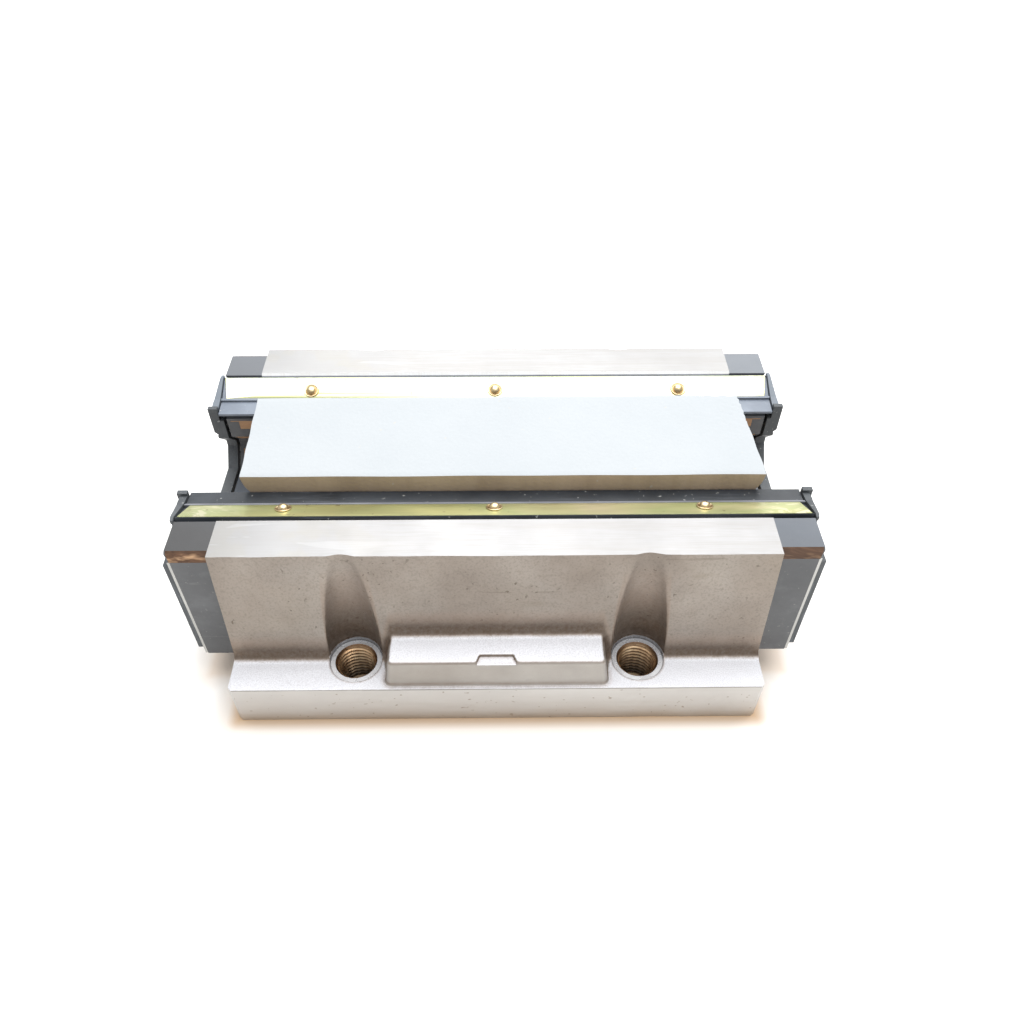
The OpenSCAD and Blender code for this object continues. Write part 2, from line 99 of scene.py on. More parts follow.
class Mat:
    """A node material with short calls for the nodes it needs."""

    def __init__(self, name, color, metallic=0.0, rough=0.5, **sockets):
        self.mat = bpy.data.materials.new(name)
        self.mat.use_nodes = True
        self.tree = self.mat.node_tree
        self.shader = self.tree.nodes["Principled BSDF"]
        self.put("Base Color", (*color, 1.0))
        self.put("Metallic", metallic)
        self.put("Roughness", rough)
        for key, value in sockets.items():
            self.put(key.replace("_", " "), value)
        self.at = self.node("ShaderNodeTexCoord").outputs["Object"]

    def put(self, socket, value):
        """Sets or links one input of the surface shader."""
        if isinstance(value, bpy.types.NodeSocket):
            self.tree.links.new(value, self.shader.inputs[socket])
        else:
            self.shader.inputs[socket].default_value = value

    def node(self, kind, inputs=(), **props):
        made = self.tree.nodes.new(kind)
        for key, value in props.items():
            setattr(made, key, value)
        for key, value in dict(inputs).items():
            if isinstance(value, bpy.types.NodeSocket):
                self.tree.links.new(value, made.inputs[key])
            else:
                made.inputs[key].default_value = value
        return made

    def stretch(self, x, y, z):
        """Object coordinates scaled per axis. A pattern is drawn out along an axis whose scale is small."""
        return self.node("ShaderNodeMapping", {"Vector": self.at, "Scale": (x, y, z)}).outputs[0]

    def moved(self, x, y, z):
        return self.node("ShaderNodeMapping", {"Vector": self.at, "Location": (x, y, z)}).outputs[0]

    def noise(self, scale, detail=4.0, rough=0.55, vector=None, distortion=0.0):
        return self.node("ShaderNodeTexNoise", {
            "Vector": vector or self.at, "Scale": scale, "Detail": detail,
            "Roughness": rough, "Distortion": distortion}).outputs["Fac"]

    def cells(self, scale):
        return self.node("ShaderNodeTexVoronoi", {"Vector": self.at, "Scale": scale}).outputs["Distance"]

    def ramp(self, value, *stops):
        """Maps a value through (position, colour or grey) stops."""
        made = self.node("ShaderNodeValToRGB", {"Fac": value})
        ramp = made.color_ramp
        while len(ramp.elements) < len(stops):
            ramp.elements.new(0.5)
        for element, (at, color) in zip(ramp.elements, stops):
            element.position = at
            element.color = (*color, 1.0) if hasattr(color, "__len__") else (color, color, color, 1.0)
        return made.outputs["Color"]

    def mix(self, fac, a, b, blend="MIX"):
        made = self.node("ShaderNodeMix", data_type="RGBA", blend_type=blend)
        for index, value in ((0, fac), (6, a), (7, b)):
            if isinstance(value, bpy.types.NodeSocket):
                self.tree.links.new(value, made.inputs[index])
            else:
                made.inputs[index].default_value = (*value, 1.0) if hasattr(value, "__len__") else value
        return made.outputs[2]

    def calc(self, operation, a, b=0.0, c=0.0):
        made = self.node("ShaderNodeMath", operation=operation)
        for index, value in enumerate((a, b, c)):
            if isinstance(value, bpy.types.NodeSocket):
                self.tree.links.new(value, made.inputs[index])
            else:
                made.inputs[index].default_value = value
        return made.outputs[0]

    def axis(self, letter):
        return self.node("ShaderNodeSeparateXYZ", {"Vector": self.at}).outputs[letter]

    def attribute(self, name):
        return self.node("ShaderNodeAttribute", attribute_name=name).outputs["Fac"]

    def normal_axis(self, letter):
        """One component of the surface normal in the object's own axes."""
        normal = self.node("ShaderNodeNewGeometry").outputs["Normal"]
        turned = self.node("ShaderNodeVectorTransform", {"Vector": normal},
                           vector_type="NORMAL", convert_from="WORLD", convert_to="OBJECT").outputs[0]
        return self.node("ShaderNodeSeparateXYZ", {"Vector": turned}).outputs[letter]

    def bump(self, height, distance, strength, after=None):
        inputs = {"Height": height, "Distance": distance, "Strength": strength}
        if after is not None:
            inputs["Normal"] = after
        return self.node("ShaderNodeBump", inputs).outputs[0]

    def vary(self, socket, value, low, high):
        """Drives a shader input between low and high by a 0 to 1 value."""
        self.put(socket, self.node("ShaderNodeMapRange", {
            "Value": value, "From Min": 0.3, "From Max": 0.7, "To Min": low, "To Max": high}).outputs[0])


def forged():
    """Blasted forging: brown grey, frosted where it faces up, where its paler colour is painted light, and
    red brown with dirt and painted shade where it is enclosed.
    """
    m = Mat("forged_skin", (0.34, 0.31, 0.275), metallic=0.75)
    broad = m.noise(22, 5, 0.6)
    fine = m.noise(1100, 3, 0.65)
    color = m.ramp(broad, (0.32, (0.258, 0.216, 0.180)), (0.5, (0.306, 0.264, 0.226)),
                   (0.68, (0.350, 0.312, 0.274)))
    grain = m.ramp(fine, (0.36, 0.34), (0.52, 0.0))
    color = m.mix(grain, color, (0.17, 0.145, 0.12))
    warm = m.ramp(m.noise(9, 3, 0.5, m.moved(0.31, 0.1, 0.7)), (0.48, 0.0), (0.70, 0.40))
    color = m.mix(warm, color, (0.36, 0.30, 0.225))
    thin = m.ramp(m.noise(30, 2), (0.42, 0.15), (0.6, 1.0))
    specks = m.ramp(m.noise(620, 1, 0.4, m.moved(0.2, 0.5, 0.1)), (0.70, 0.0), (0.75, 0.7))
    color = m.mix(m.calc("MULTIPLY", specks, thin), color, (0.12, 0.095, 0.07))
    smudge = m.ramp(m.noise(75, 4, 0.6, m.stretch(0.45, 1, 1.6)), (0.62, 0.0), (0.76, 0.45))
    color = m.mix(smudge, color, (0.22, 0.185, 0.14))
    scratch = m.calc(
        "MULTIPLY",
        m.ramp(m.noise(430, 2, 0.4, m.stretch(0.085, 1, 1.0), 0.35), (0.70, 0.0), (0.735, 0.55)),
        m.ramp(m.noise(17, 1, 0.5, m.moved(0.4, 0.2, 0.9)), (0.54, 0.0), (0.66, 0.6)))
    color = m.mix(scratch, color, (0.13, 0.10, 0.07))
    outer = m.ramp(m.calc("MULTIPLY", m.calc("ABSOLUTE", m.axis("Y")), 12.0), (0.955, 0.0), (0.975, 0.85))
    color = m.mix(outer, color, m.ramp(broad, (0.32, (0.375, 0.345, 0.312)), (0.68, (0.455, 0.430, 0.400))))
    # Painted light: faces that point up take a paler frost colour than the sides
    edge = m.calc("ADD", m.normal_axis("Z"), m.calc("MULTIPLY_ADD", fine, 0.16, -0.08))
    up = m.ramp(edge, (0.82, 0.0), (0.975, 1.0))
    frost_and_top_light = m.ramp(m.noise(2300, 2, 0.7), (0.32, (0.585, 0.578, 0.598)), (0.60, (0.745, 0.745, 0.770)))
    color = m.mix(up, color, frost_and_top_light)
    # Dirt and painted shade from the mesh: red brown where the skin is enclosed, at the leg's foot and in
    # the reliefs
    grime_and_shade = m.attribute("grime_and_shade")
    flecked = m.calc("MULTIPLY", grime_and_shade, m.ramp(m.noise(620, 3, 0.75), (0.25, 0.66), (0.75, 1.20)))
    rust_and_shade = m.ramp(grime_and_shade, (0.12, (0.36, 0.235, 0.165)), (0.62, (0.125, 0.083, 0.055)))
    color = m.mix(m.calc("MINIMUM", flecked, 0.97), color, rust_and_shade)
    m.put("Base Color", color)
    m.put("Metallic", m.calc("MULTIPLY_ADD", up, -0.6, 0.75))
    m.vary("Roughness", m.noise(60, 4, 0.6), 0.46, 0.62)
    pits = m.bump(m.noise(150, 4, 0.6), 0.00022, 0.8)
    m.put("Normal", m.bump(m.noise(1500, 3, 0.65), 0.00006, 0.9, pits))
    return m.mat


def front_face():
    """Rolled skin on the flange's outer faces: smoother and paler than the forging."""
    m = Mat("flange_face", (0.5, 0.485, 0.46), metallic=0.8)
    color = m.ramp(m.noise(16, 4, 0.6, m.stretch(0.5, 1, 1.5)),
                   (0.35, (0.500, 0.480, 0.457)), (0.65, (0.560, 0.545, 0.525)))
    streak = m.ramp(m.noise(70, 4, 0.6, m.stretch(0.12, 1, 2.2)), (0.52, 0.0), (0.75, 0.35))
    color = m.mix(streak, color, (0.42, 0.39, 0.34))
    # Painted warm shade along the flange's foot, towards the floor
    low = m.ramp(m.calc("MULTIPLY", m.axis("Z"), 50.0), (0.0, 0.20), (0.16, 0.0))
    patchy = m.ramp(m.noise(90, 4, 0.6), (0.35, 0.3), (0.65, 1.0))
    color = m.mix(m.calc("MULTIPLY", low, patchy), color, (0.38, 0.31, 0.22))
    marks = m.ramp(m.noise(420, 1, 0.5, m.stretch(1, 1, 1.4)), (0.72, 0.0), (0.76, 0.6))
    color = m.mix(marks, color, (0.22, 0.17, 0.12))
    m.put("Base Color", color)
    m.vary("Roughness", m.noise(80, 4, 0.6), 0.36, 0.48)
    m.put("Normal", m.bump(m.noise(500, 4, 0.6), 0.00004, 0.8))
    return m.mat


def milled(name, color_a, color_b, line_axis, lines_per_m=2400, stains_and_painted_light=False, metallic=0.85):
    """Machined steel with cutter lines along one axis. The leg tops' option adds their blots towards the
    left, painted light at their left end and painted shade on the near leg.
    """
    m = Mat(name, color_a, metallic=metallic)
    base = m.ramp(m.noise(24, 4, 0.6), (0.35, color_a), (0.65, color_b))
    shadow = tuple(c * share for c, share in zip(color_a, (0.86, 0.81, 0.75)))
    stretch = (1.0, 0.03, 0.03) if line_axis == "X" else (0.03, 1.0, 0.03)
    cut = m.noise(lines_per_m, 2, 0.6, m.stretch(*stretch))
    band = m.noise(lines_per_m * 0.12, 3, 0.6, m.stretch(*stretch))
    base = m.mix(m.ramp(cut, (0.35, 0.30), (0.6, 0.0)), base, shadow)
    base = m.mix(m.ramp(band, (0.38, 0.24), (0.6, 0.0)), base, shadow)
    if stains_and_painted_light:
        left = m.ramp(m.calc("MULTIPLY_ADD", m.axis("X"), 5.0, 0.5), (0.08, 1.0), (0.34, 0.0))
        blot = m.ramp(m.noise(55, 3, 0.5, m.moved(0.13, 0.4, 0)), (0.48, 0.0), (0.55, 1.0), (0.70, 0.55))
        base = m.mix(m.calc("MULTIPLY", left, m.calc("MULTIPLY", blot, 0.34)), base, (0.325, 0.290, 0.205))
        tint = m.ramp(m.noise(12, 2, 0.5, m.moved(0.9, 0.1, 0)), (0.48, 0.0), (0.70, 0.30))
        base = m.mix(m.calc("MULTIPLY", left, tint), base, (0.345, 0.308, 0.294))
        scuff = m.calc("MULTIPLY", left,
                       m.ramp(m.noise(120, 3, 0.5, m.stretch(0.25, 1.6, 1), 0.8), (0.58, 0.0), (0.62, 0.5)))
        base = m.mix(scuff, base, (0.46, 0.46, 0.455))
        # Painted light: the leg tops' left end is lifted paler
        base = m.mix(m.calc("MULTIPLY", left, 0.55), base, (0.385, 0.382, 0.378))
        # Painted shade: the near leg top is darker than the far one
        near = m.ramp(m.calc("MULTIPLY_ADD", m.axis("Y"), 5.0, 0.5), (0.3, 1.0), (0.7, 0.0))
        base = m.mix(near, base, (0.815, 0.815, 0.82), "MULTIPLY")
    m.put("Base Color", base)
    m.vary("Roughness", m.noise(45, 4, 0.6), 0.34, 0.46)
    m.put("Normal", m.bump(cut, 0.00002, 0.7))
    return m.mat


def hole_radius(m):
    """Distance from the axis of the nearest threaded hole, in metres."""
    dx = m.calc("SUBTRACT", m.calc("ABSOLUTE", m.axis("X")), HOLE_X * MM)
    dy = m.calc("SUBTRACT", m.calc("ABSOLUTE", m.axis("Y")), HOLE_Y * MM)
    return m.calc("SQRT", m.calc("ADD", m.calc("MULTIPLY", dx, dx), m.calc("MULTIPLY", dy, dy)))


def turned():
    """Spot faces: fine rings round each hole's axis."""
    m = Mat("turned_ring", (0.5, 0.505, 0.515), metallic=0.5)
    radius = hole_radius(m)
    rings = m.calc("MULTIPLY_ADD", m.calc("SINE", m.calc("MULTIPLY", radius, 16000.0)), 0.5, 0.5)
    color = m.ramp(m.noise(140, 4, 0.6), (0.3, (0.785, 0.790, 0.810)), (0.7, (0.910, 0.918, 0.935)))
    color = m.mix(m.calc("MULTIPLY", rings, 0.15), color, (0.56, 0.56, 0.58))
    rim = m.ramp(m.calc("MULTIPLY", radius, 80.0), (0.786, 0.0), (0.800, 0.80))
    color = m.mix(rim, color, (0.16, 0.15, 0.15))
    m.put("Base Color", color)
    m.vary("Roughness", m.noise(200, 3, 0.6), 0.22, 0.34)
    m.put("Normal", m.bump(rings, 0.00001, 0.5))
    return m.mat


def thread():
    """Oiled thread: copper on its crests, partly oil and partly a painted warm reflection, with painted
    shade in its grooves and towards the bottom of the hole.
    """
    m = Mat("thread_steel", (0.5, 0.36, 0.24), metallic=0.95)
    # Copper on the crests: partly oil, partly a painted warm reflection
    color = m.ramp(m.noise(120, 4, 0.6), (0.3, (0.46, 0.29, 0.16)), (0.5, (0.74, 0.49, 0.28)),
                   (0.7, (0.88, 0.65, 0.40)))
    # Painted shade in the grooves
    groove_shade = m.ramp(m.calc("MULTIPLY", hole_radius(m), 100.0), (0.715, 0.0), (0.765, 0.85))
    color = m.mix(groove_shade, color, (0.16, 0.085, 0.045))
    # Painted shade deeper in the hole
    depth_shade = m.ramp(m.calc("MULTIPLY", m.axis("Z"), 48.0), (0.10, 0.96), (0.50, 0.60), (0.85, 0.0))
    color = m.mix(depth_shade, color, (0.035, 0.028, 0.022))
    m.put("Base Color", color)
    m.vary("Roughness", m.noise(300, 3, 0.6), 0.22, 0.38)
    m.put("Normal", m.bump(m.noise(900, 3, 0.6), 0.00002, 0.6))
    return m.mat


def plastic(name, dark, light, dust=0.25, scuff=0.35, painted_top_glare=False, **sockets):
    """Moulded plastic with haze, motes and scuffs. The top option paints glare on upper faces: dark at the
    near left and paler to the far right.
    """
    m = Mat(name, dark, **sockets)
    color = m.ramp(m.noise(28, 5, 0.6), (0.35, dark), (0.65, light))
    haze = m.ramp(m.noise(75, 5, 0.65, m.stretch(1, 0.7, 1.3)), (0.50, 0.0), (0.78, dust))
    color = m.mix(haze, color, tuple(min(1.0, c * 2.2 + 0.03) for c in light))
    motes = m.ramp(m.noise(900, 1, 0.5), (0.74, 0.0), (0.78, dust * 1.2))
    color = m.mix(motes, color, (0.36, 0.34, 0.31))
    line = m.calc("MULTIPLY",
                  m.ramp(m.noise(300, 1, 0.4, m.stretch(0.12, 0.7, 1), 0.3), (0.70, 0.0), (0.74, 1.0)),
                  m.ramp(m.noise(20, 1, 0.5, m.moved(0.8, 0.4, 0.2)), (0.50, 0.0), (0.58, scuff)))
    color = m.mix(line, color, (0.30, 0.295, 0.285))
    # Painted glare on upper faces: darker at the near left, paler to the far right
    if painted_top_glare:
        tone = m.calc("ADD", m.calc("MULTIPLY_ADD", m.axis("X"), 1.5, 0.5),
                      m.calc("MULTIPLY", m.axis("Y"), 5.5))
        painted_glare = m.ramp(tone, (0.06, (0.034, 0.033, 0.033)), (0.39, (0.070, 0.081, 0.098)),
                      (0.61, (0.115, 0.122, 0.133)), (0.94, (0.150, 0.163, 0.180)))
        color = m.mix(m.ramp(m.normal_axis("Z"), (0.85, 0.0), (0.98, 0.9)), color, painted_glare)
    m.put("Base Color", color)
    m.vary("Roughness", m.noise(50, 4, 0.6), 0.38, 0.52)
    m.put("Normal", m.bump(m.noise(1400, 3, 0.6), 0.00003, 0.7))
    return m.mat


def copper_plastic():
    """Brown return block, with painted pale glare streaks towards the left, and orange inside the channel.
    """
    m = Mat("brown_plastic", (0.20, 0.105, 0.055), rough=0.45, Specular_IOR_Level=0.28)
    pull = m.noise(95, 5, 0.65, m.stretch(0.5, 1.6, 1.6), 0.9)
    color = m.ramp(pull, (0.34, (0.030, 0.016, 0.010)), (0.5, (0.070, 0.036, 0.020)),
                   (0.66, (0.135, 0.070, 0.038)))
    # Painted glare: pale streaks towards the left
    left = m.ramp(m.calc("MULTIPLY_ADD", m.axis("X"), 3.0, 0.5), (0.0, 1.0), (1.0, 0.05))
    painted_glare = m.ramp(m.noise(210, 3, 0.6, m.stretch(0.22, 1, 1), 0.8), (0.50, 0.0), (0.64, 1.0))
    color = m.mix(m.calc("MULTIPLY", left, painted_glare), color, (0.46, 0.285, 0.160))
    inner = m.ramp(m.calc("MULTIPLY", m.calc("ABSOLUTE", m.axis("Y")), 20.0), (0.90, 0.85), (0.96, 0.0))
    color = m.mix(inner, color, m.ramp(pull, (0.3, (0.34, 0.185, 0.095)), (0.7, (0.52, 0.31, 0.17))))
    m.put("Base Color", color)
    m.vary("Roughness", m.noise(90, 4, 0.6), 0.36, 0.58)
    m.put("Normal", m.bump(pull, 0.0004, 0.6))
    return m.mat


def rubber(name, dark, light, streak_axis, rough=(0.42, 0.6), painted_far_glare=False, painted_bead_highlight=False):
    """Seal rubber with streaks along one axis and lint. One option paints a bright highlight line beside
    the near plated strip, and the other paints glare on the end seals' paler upper part beyond the rail's
    neck."""
    m = Mat(name, dark, Specular_IOR_Level=0.45)
    color = m.ramp(m.noise(40, 5, 0.6), (0.35, dark), (0.65, light))
    along = {"X": (0.04, 1.0, 1.0), "Z": (1.0, 1.0, 0.05)}[streak_axis]
    lines = m.ramp(m.noise(1500, 3, 0.6, m.stretch(*along)), (0.50, 0.0), (0.72, 0.30))
    patches = m.ramp(m.noise(22, 3, 0.6, m.stretch(0.5, 1, 1)), (0.42, 0.0), (0.62, 1.0))
    color = m.mix(m.calc("MULTIPLY", lines, patches), color, (0.30, 0.33, 0.38))
    if painted_bead_highlight:
        # Painted highlight line along the near strip rubber's top, beside the plated strip
        inward = m.calc("MULTIPLY", m.calc("ABSOLUTE", m.axis("Y")), 20.0)
        edge = m.ramp(inward, (0.610, 0.0), (0.617, 1.0), (0.654, 1.0), (0.660, 0.0))
        broken = m.ramp(m.noise(60, 3, 0.6, m.stretch(0.5, 1, 1)), (0.36, 0.55), (0.56, 0.95))
        color = m.mix(m.calc("MULTIPLY", edge, broken), color, (0.190, 0.195, 0.215))
    if painted_far_glare:
        # Painted glare: the end seals' upper part beyond the neck is paler, like the far strip lip
        beyond_neck = m.ramp(m.calc("MULTIPLY", m.axis("Y"), 20.0), (0.53, 0.0), (0.56, 0.85))
        high_up = m.ramp(m.calc("MULTIPLY", m.axis("Z"), 10.0), (0.64, 0.0), (0.67, 1.0))
        color = m.mix(m.calc("MULTIPLY", beyond_neck, high_up), color, (0.150, 0.172, 0.200))
    lint = m.ramp(m.noise(620, 2, 0.5), (0.70, 0.0), (0.75, 0.55))
    color = m.mix(lint, color, (0.42, 0.42, 0.40))
    m.put("Base Color", color)
    m.vary("Roughness", m.noise(70, 4, 0.6), *rough)
    m.put("Normal", m.bump(m.noise(900, 3, 0.6), 0.00004, 0.7))
    return m.mat


def chromate():
    """Yellow plating that drifts between straw and green, creased towards the strip's ends."""
    m = Mat("chromate_steel", (0.72, 0.68, 0.38), metallic=0.9)
    film = m.noise(15, 3, 0.55, m.stretch(0.6, 2.5, 1), 0.6)
    color = m.ramp(film, (0.28, (0.70, 0.60, 0.30)), (0.42, (0.66, 0.64, 0.30)),
                   (0.52, (0.58, 0.62, 0.30)), (0.62, (0.74, 0.70, 0.40)), (0.74, (0.84, 0.74, 0.50)))
    brushed = m.noise(1600, 3, 0.6, m.stretch(0.03, 1, 1))
    color = m.mix(m.ramp(brushed, (0.35, 0.22), (0.6, 0.0)), color, (0.45, 0.42, 0.22))
    ends = m.ramp(m.calc("MULTIPLY", m.calc("ABSOLUTE", m.axis("X")), 8.0), (0.74, 0.0), (0.90, 1.0))
    creases = m.ramp(m.noise(130, 3, 0.6, m.stretch(0.6, 1.2, 1), 1.5), (0.50, 0.0), (0.57, 0.8))
    color = m.mix(m.calc("MULTIPLY", ends, creases), color, (0.93, 0.86, 0.62))
    spots = m.ramp(m.noise(260, 2, 0.5), (0.68, 0.0), (0.73, 0.55))
    color = m.mix(spots, color, (0.30, 0.24, 0.12))
    m.put("Base Color", color)
    m.vary("Roughness", m.noise(60, 4, 0.6, m.stretch(0.3, 1, 1)), 0.24, 0.40)
    m.put("Normal", m.bump(m.noise(90, 4, 0.6, m.stretch(0.5, 1, 1)), 0.00012, 0.5))
    return m.mat


def brass():
    """Brass that darkens with the rivet mesh's dirt."""
    m = Mat("rivet_brass", (0.80, 0.62, 0.32), metallic=1.0)
    color = m.ramp(m.noise(420, 4, 0.6), (0.3, (0.56, 0.42, 0.22)), (0.55, (0.76, 0.62, 0.38)),
                   (0.75, (0.86, 0.77, 0.55)))
    color = m.mix(m.ramp(m.attribute("dirt"), (0.0, 0.0), (1.0, 0.85)), color, (0.27, 0.16, 0.07))
    m.put("Base Color", color)
    m.vary("Roughness", m.noise(700, 3, 0.6), 0.26, 0.42)
    m.put("Normal", m.bump(m.noise(1500, 3, 0.6), 0.00002, 0.6))
    return m.mat


def bright_steel(name, low, high, rough=(0.2, 0.34)):
    """Ground or blackened steel with fine lines along Z."""
    m = Mat(name, high, metallic=0.95)
    lines = m.noise(1800, 3, 0.6, m.stretch(1, 1, 0.05))
    line_share = m.ramp(lines, (0.35, 0.35), (0.62, 0.0))
    color = m.mix(line_share, m.ramp(m.noise(90, 4, 0.6), (0.3, low), (0.7, high)), low)
    m.put("Base Color", color)
    m.vary("Roughness", m.noise(120, 4, 0.6), *rough)
    m.put("Normal", m.bump(lines, 0.00001, 0.6))
    return m.mat


def foam():
    """White sheet foam, with painted brown grey shade and warm bounce on its vertical cut sides."""
    m = Mat("foam", (0.86, 0.88, 0.88), rough=0.9, Sheen_Weight=0.15, Sheen_Roughness=0.5)
    top = m.ramp(m.noise(14, 4, 0.6), (0.35, (0.372, 0.392, 0.404)), (0.65, (0.392, 0.410, 0.420)))
    # Painted shade and warm bounce on the vertical cut sides
    cut = m.ramp(m.noise(60, 4, 0.6, m.stretch(1.0, 1.0, 0.25)),
                 (0.3, (0.335, 0.245, 0.165)), (0.7, (0.455, 0.345, 0.24)))
    side_shade = m.ramp(m.calc("ABSOLUTE", m.normal_axis("Z")), (0.35, 0.0), (0.75, 1.0))
    color = m.mix(side_shade, cut, top)
    speck = m.ramp(m.noise(420, 2, 0.5), (0.73, 0.0), (0.77, 0.5))
    color = m.mix(speck, color, (0.45, 0.42, 0.36))
    m.put("Base Color", color)
    m.vary("Roughness", m.noise(60, 3, 0.6), 0.82, 0.95)
    pores = m.bump(m.cells(620), 0.00016, 0.55)
    m.put("Normal", m.bump(m.noise(45, 4, 0.6), 0.0005, 0.5, pores))
    return m.mat


def beyond(m, half_x, half_y):
    """Distance in metres outside a centred rectangle with the given half sides in millimetres."""
    dx = m.calc("MAXIMUM", m.calc("SUBTRACT", m.calc("ABSOLUTE", m.axis("X")), half_x * MM), 0.0)
    dy = m.calc("MAXIMUM", m.calc("SUBTRACT", m.calc("ABSOLUTE", m.axis("Y")), half_y * MM), 0.0)
    return m.calc("SQRT", m.calc("ADD", m.calc("MULTIPLY", dx, dx), m.calc("MULTIPLY", dy, dy)))


def paper_floor():
    """Pale paper with a painted warm contact shadow close round the carriage's foot and under each end cap.
    """
    shadow_reach = 0.03
    m = Mat("floor_paper", (0.92, 0.905, 0.88), rough=0.85)
    color = m.ramp(m.noise(3, 3, 0.5), (0.35, (0.915, 0.90, 0.87)), (0.65, (0.935, 0.92, 0.895)))
    # Painted contact shadow: warm tone near the body's foot and under each end cap
    from_body = m.calc("MULTIPLY", beyond(m, BODY_X, BODY_Y), 1 / shadow_reach)
    warm = m.ramp(from_body, (0.0, 1.0), (0.06, 0.85), (0.17, 0.34), (0.40, 0.10), (1.0, 0.0))
    from_caps = m.calc("MULTIPLY", beyond(m, cap_high[0], cap_high[1]), 1 / shadow_reach)
    cap_shadow = m.ramp(from_caps, (0.0, 0.55), (0.10, 0.30), (0.34, 0.05), (0.7, 0.0))
    color = m.mix(m.calc("MAXIMUM", warm, cap_shadow), color, (0.60, 0.42, 0.265))
    m.put("Base Color", color)
    m.put("Normal", m.bump(m.noise(60, 4, 0.6), 0.0002, 0.2))
    return m.mat


# ---- mesh builders ---------------------------------------------------------------------------

def new_object(name, points_mm, faces, materials=(), smooth=None):
    """A mesh object from points in millimetres. Edges sharper than `smooth` degrees stay sharp."""
    mesh = bpy.data.meshes.new(name)
    mesh.from_pydata((np.asarray(points_mm, float) * MM).tolist(), [], faces)
    for material in materials:
        mesh.materials.append(material)
    made = bpy.data.objects.new(name, mesh)
    scene.collection.objects.link(made)
    if smooth is not None:
        shade(made, smooth)
    return made


def shade(target, angle):
    """Smooth shading, with the edges over an angle in degrees kept sharp."""
    target.data.shade_smooth()
    target.data.set_sharp_from_angle(angle=math.radians(angle))


def tube_faces(stations, ring):
    """Faces of a closed skin over `stations` rings of `ring` points each, with both ends closed."""
    faces = []
    for i in range(stations - 1):
        a, b = i * ring, (i + 1) * ring
        for j in range(ring):
            k = (j + 1) % ring
            faces.append((a + j, a + k, b + k, b + j))
    faces.append(tuple(range(ring - 1, -1, -1)))
    faces.append(tuple(range((stations - 1) * ring, stations * ring)))
    return faces


def prism_x(name, x0, x1, outline):
    """A prism along X over a counter-clockwise outline of (y, z) points."""
    points = [(x, y, z) for x in (x0, x1) for y, z in outline]
    return new_object(name, points, tube_faces(2, len(outline)))


def prism_z(name, z0, z1, outline):
    """A prism along Z over a counter-clockwise outline of (x, y) points."""
    points = [(x, y, z) for z in (z0, z1) for x, y in outline]
    return new_object(name, points, tube_faces(2, len(outline)))


def turned_solid(name, profile, segments, axis_at):
    """A solid turned about Z through axis_at. profile is a list of (radius, z) from bottom to top."""
    points = []
    for r, z in profile:
        for i in range(segments):
            a = 2 * math.pi * i / segments
            points.append((axis_at[0] + r * math.cos(a), axis_at[1] + r * math.sin(a), z))
    return new_object(name, points, tube_faces(len(profile), segments))


def boolean(target, cutter, operation):
    """Applies a boolean with the cutter, and removes the cutter."""
    modifier = target.modifiers.new("cut", "BOOLEAN")
    modifier.operation = operation
    modifier.solver = "MANIFOLD"
    modifier.object = cutter
    apply_modifiers(target)
    bpy.data.objects.remove(cutter)


def apply_modifiers(target):
    depsgraph = bpy.context.evaluated_depsgraph_get()
    evaluated = target.evaluated_get(depsgraph)
    mesh = bpy.data.meshes.new_from_object(evaluated, preserve_all_data_layers=True, depsgraph=depsgraph)
    target.modifiers.clear()
    target.data = mesh


# ---- carriage body ---------------------------------------------------------------------------

rng = np.random.default_rng(65)


def wave_field(count, shortest, longest):
    """A smooth random field over space, as a sum of plane waves with lengths in mm."""
    lengths = np.exp(rng.uniform(math.log(shortest), math.log(longest), count))
    directions = rng.normal(size=(count, 3))
    directions /= np.linalg.norm(directions, axis=1)[:, None]
    phases = rng.uniform(0, 2 * math.pi, count)
    amounts = lengths / lengths.mean() / math.sqrt(count)

    def height(x, y, z):
        total = np.zeros_like(x)
        for d, length, phase, amount in zip(directions, lengths, phases, amounts):
            total += amount * np.sin((x * d[0] + y * d[1] + z * d[2]) * 2 * math.pi / length + phase)
        return total
    return height


dents = wave_field(14, 14, 60)
ripple = wave_field(18, 2.5, 7)


def join_round(a, b, r):
    """Distance to two solids together, with a fillet of radius r where they meet."""
    return np.maximum(r, np.minimum(a, b)) - np.hypot(np.maximum(r - a, 0), np.maximum(r - b, 0))


def meet_round(a, b, r):
    """Distance to what two solids share, with the edge between them rounded to radius r."""
    return np.minimum(-r, np.maximum(a, b)) + np.hypot(np.maximum(a + r, 0), np.maximum(b + r, 0))


